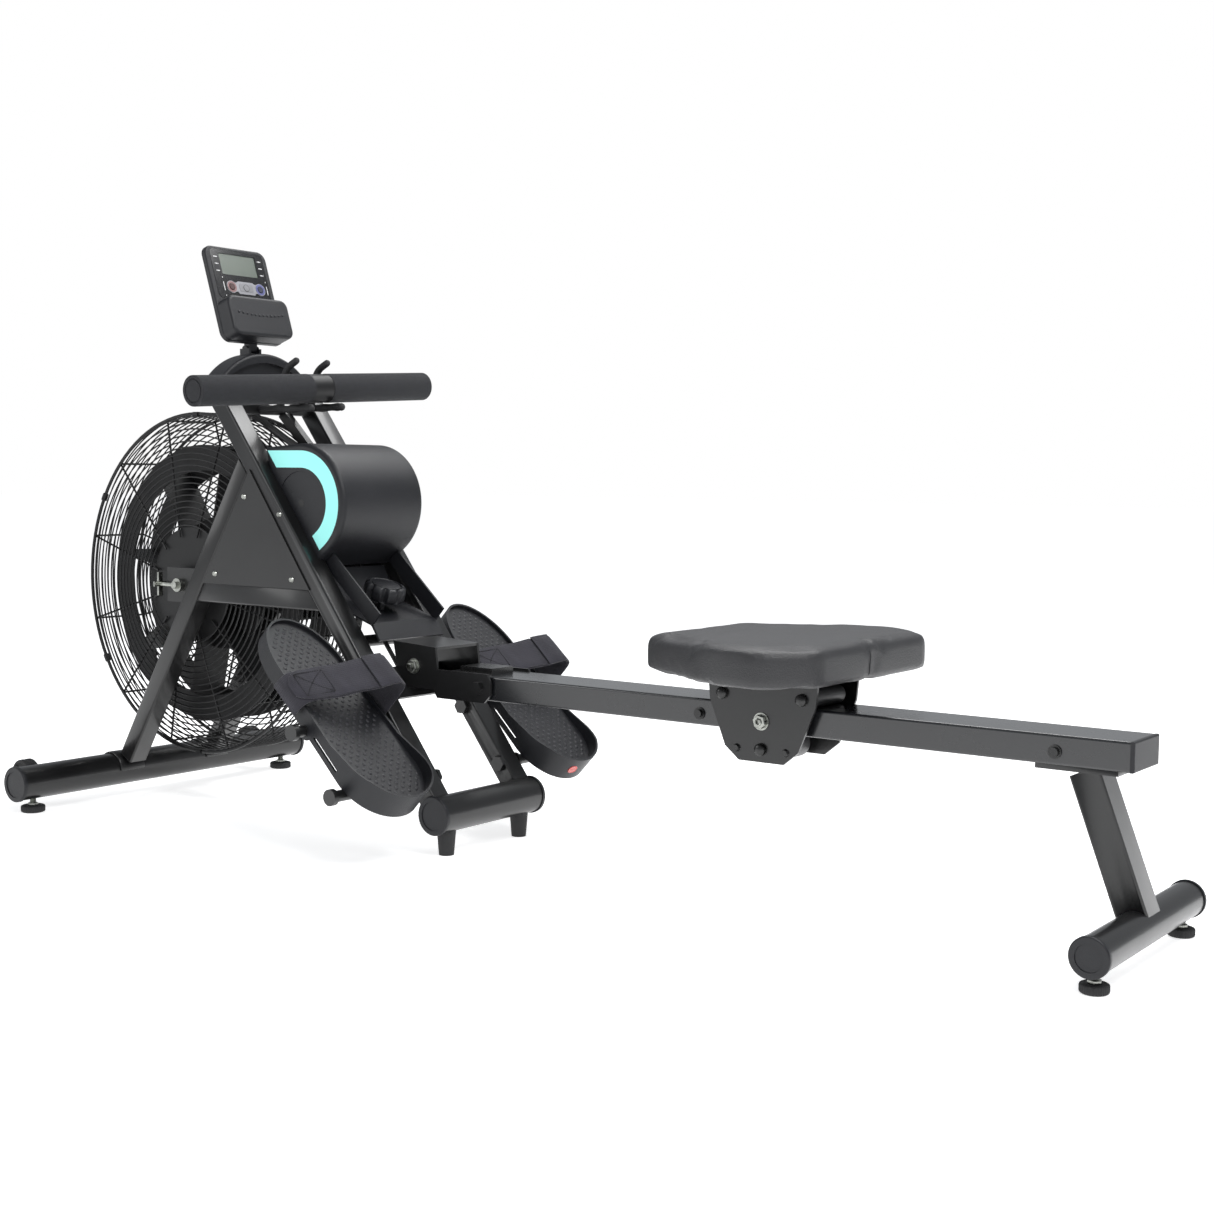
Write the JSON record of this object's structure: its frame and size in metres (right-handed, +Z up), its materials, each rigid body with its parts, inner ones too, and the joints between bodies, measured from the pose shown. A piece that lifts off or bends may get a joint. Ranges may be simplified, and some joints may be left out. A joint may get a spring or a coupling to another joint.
{
  "type": "air rowing machine",
  "caption": "Air rower with a wire-caged fan on an A-frame, spool housing, pull handle on hooks, tilting console, pivoting foot plates and a sliding seat on a folding rail.",
  "frame": {"origin": "on the floor under the middle of the whole machine", "axes": "+X from the fan end to the seat end, +Y to the rower's right, +Z up"},
  "size_m": [1.8634, 0.6, 0.9101],
  "materials": {
    "frame_paint": "satin black powder coat",
    "cage_wire": "satin black coated wire",
    "zinc": "zinc plated steel",
    "shell_plastic": "dark grey moulded plastic",
    "gloss_black": "gloss black plastic",
    "teal_trim": "pale teal insert",
    "fan_plastic": "dark moulded fan",
    "pulley_plastic": "black nylon",
    "rubber": "black rubber",
    "foam": "charcoal foam",
    "webbing": "grey woven webbing",
    "strap_webbing": "black woven webbing",
    "seat_vinyl": "charcoal vinyl",
    "rail_paint": "gloss black rail",
    "screen": "grey-green display window",
    "button_red": "red button",
    "button_grey": "grey button",
    "button_blue": "blue button",
    "elastic": "black elastic cord"
  },
  "bodies": {
    "frame": {"axle_brackets": "frame_paint", "cage_barrel": "cage_wire", "cage_left": "cage_wire", "cage_right": "cage_wire", "console_mast": "shell_plastic", "cross_members": "frame_paint", "drive_belt": "rubber", "fan_axle": "zinc", "frame_end_caps": "shell_plastic", "frame_fasteners": "zinc", "front_braces": "frame_paint", "front_stabiliser": "frame_paint", "gussets": "frame_paint", "handle_hooks": "rubber", "housing_left": "shell_plastic", "housing_right": "shell_plastic", "housing_trims": "teal_trim", "hub_plates": "cage_wire", "main_leg_left": "frame_paint", "main_leg_right": "frame_paint", "mid_rubber_feet": "rubber", "mid_stabiliser": "frame_paint", "pedal_rods": "frame_paint", "pull_strap": "strap_webbing", "rail_bracket": "frame_paint", "return_cord": "elastic", "side_braces": "frame_paint", "top_cover": "shell_plastic", "tray": "shell_plastic"},
    "handle": {"handle_bar": "gloss_black", "handle_grips": "foam"},
    "console": {"console_case": "shell_plastic", "console_screen": "screen"},
    "rail": {"rail": "rail_paint", "rear_leg": "frame_paint", "rear_stabiliser": "frame_paint", "rear_caps": "shell_plastic", "rail_fasteners": "zinc"},
    "seat": {"seat_carriage": "frame_paint", "seat_cushion": "seat_vinyl"},
    "pedal_left": {"pedal_left": "shell_plastic", "pedal_strap_left": "webbing"},
    "pedal_right": {"pedal_right": "shell_plastic", "pedal_strap_right": "webbing"},
    "fan": {"impeller": "fan_plastic"},
    "spool": {"spool": "pulley_plastic"},
    "guide_pulley": {"guide_pulley": "pulley_plastic"},
    "button_left": {"button_left": "button_red"},
    "button_middle": {"button_middle": "button_grey"},
    "button_right": {"button_right": "button_blue"},
    "roller_front": {"roller_front": "pulley_plastic"},
    "roller_rear": {"roller_rear": "pulley_plastic"},
    "roller_lower": {"roller_lower": "pulley_plastic"},
    "wheel_left": {"wheel_left": "rubber"},
    "wheel_right": {"wheel_right": "rubber"},
    "knob": {"tension_knob": "gloss_black"},
    "foot_front_left": {"foot_front_left": "shell_plastic"},
    "foot_front_right": {"foot_front_right": "shell_plastic"},
    "foot_rear_left": {"foot_rear_left": "shell_plastic"},
    "foot_rear_right": {"foot_rear_right": "shell_plastic"}
  },
  "joints": [
    {"name": "fan_spin", "type": "hinge", "parent": "frame", "child": "fan", "pos_m": [-0.65075, 0, 0.364], "axis": [0, 1, 0], "continuous": true},
    {"name": "handle_pull", "type": "slide", "parent": "frame", "child": "handle", "axis": [1, 0, 0], "range_m": [0, 1.05], "stiffness_N_per_m": 15, "springref_m": -1},
    {"name": "spool_turn", "type": "hinge", "parent": "frame", "child": "spool", "pos_m": [-0.36775, 0, 0.5015], "axis": [0, 1, 0], "continuous": true},
    {"name": "guide_pulley_turn", "type": "hinge", "parent": "frame", "child": "guide_pulley", "pos_m": [-0.57475, 0, 0.662], "axis": [0, 1, 0], "continuous": true},
    {"name": "console_tilt", "type": "hinge", "parent": "frame", "child": "console", "pos_m": [-0.57575, 0, 0.746], "axis": [0, 1, 0], "range_deg": [-10, 12]},
    {"name": "button_left_press", "type": "slide", "parent": "console", "child": "button_left", "axis": [-0.95, 0, -0.3123], "range_m": [0, 0.0015], "stiffness_N_per_m": 400, "springref_m": -0.001},
    {"name": "button_middle_press", "type": "slide", "parent": "console", "child": "button_middle", "axis": [-0.95, 0, -0.3123], "range_m": [0, 0.0015], "stiffness_N_per_m": 400, "springref_m": -0.001},
    {"name": "button_right_press", "type": "slide", "parent": "console", "child": "button_right", "axis": [-0.95, 0, -0.3123], "range_m": [0, 0.0015], "stiffness_N_per_m": 400, "springref_m": -0.001},
    {"name": "rail_fold", "type": "hinge", "parent": "frame", "child": "rail", "pos_m": [-0.04575, 0, 0.241], "axis": [0, 1, 0], "range_deg": [-75, 0]},
    {"name": "seat_slide", "type": "slide", "parent": "rail", "child": "seat", "axis": [1, 0, 0], "range_m": [-0.3, 0.28]},
    {"name": "roller_front_turn", "type": "hinge", "parent": "seat", "child": "roller_front", "pos_m": [0.37475, 0, 0.2706], "axis": [0, 1, 0], "continuous": true},
    {"name": "roller_rear_turn", "type": "hinge", "parent": "seat", "child": "roller_rear", "pos_m": [0.49175, 0, 0.2706], "axis": [0, 1, 0], "continuous": true},
    {"name": "roller_lower_turn", "type": "hinge", "parent": "seat", "child": "roller_lower", "pos_m": [0.43325, 0, 0.2026], "axis": [0, 1, 0], "continuous": true},
    {"name": "knob_turn", "type": "hinge", "parent": "frame", "child": "knob", "pos_m": [-0.27675, 0, 0.368], "axis": [0.309, 0, 0.9511], "range_deg": [0, 300]},
    {"name": "pedal_left_pivot", "type": "hinge", "parent": "frame", "child": "pedal_left", "pos_m": [-0.18245, -0.192, 0.19013], "axis": [0, 1, 0], "range_deg": [-25, 0]},
    {"name": "wheel_left_roll", "type": "hinge", "parent": "frame", "child": "wheel_left", "pos_m": [-0.85475, -0.24, 0.05], "axis": [0, 1, 0], "continuous": true},
    {"name": "foot_front_left_turn", "type": "hinge", "parent": "frame", "child": "foot_front_left", "pos_m": [-0.80075, -0.266, 0.01], "axis": [0, 0, 1], "continuous": true},
    {"name": "foot_rear_left_turn", "type": "hinge", "parent": "rail", "child": "foot_rear_left", "pos_m": [0.90825, -0.144, 0.01], "axis": [0, 0, 1], "continuous": true},
    {"name": "pedal_right_pivot", "type": "hinge", "parent": "frame", "child": "pedal_right", "pos_m": [-0.18245, 0.192, 0.19013], "axis": [0, 1, 0], "range_deg": [-25, 0]},
    {"name": "wheel_right_roll", "type": "hinge", "parent": "frame", "child": "wheel_right", "pos_m": [-0.85475, 0.24, 0.05], "axis": [0, 1, 0], "continuous": true},
    {"name": "foot_front_right_turn", "type": "hinge", "parent": "frame", "child": "foot_front_right", "pos_m": [-0.80075, 0.266, 0.01], "axis": [0, 0, 1], "continuous": true},
    {"name": "foot_rear_right_turn", "type": "hinge", "parent": "rail", "child": "foot_rear_right", "pos_m": [0.90825, 0.144, 0.01], "axis": [0, 0, 1], "continuous": true}
  ],
  "couplings": [
    {"joint": "spool_turn", "follows": "handle_pull", "rad_per_m": 35.398},
    {"joint": "guide_pulley_turn", "follows": "handle_pull", "rad_per_m": 65.574},
    {"joint": "roller_front_turn", "follows": "seat_slide", "rad_per_m": 83.333},
    {"joint": "roller_rear_turn", "follows": "seat_slide", "rad_per_m": 83.333},
    {"joint": "roller_lower_turn", "follows": "seat_slide", "rad_per_m": -50}
  ]
}
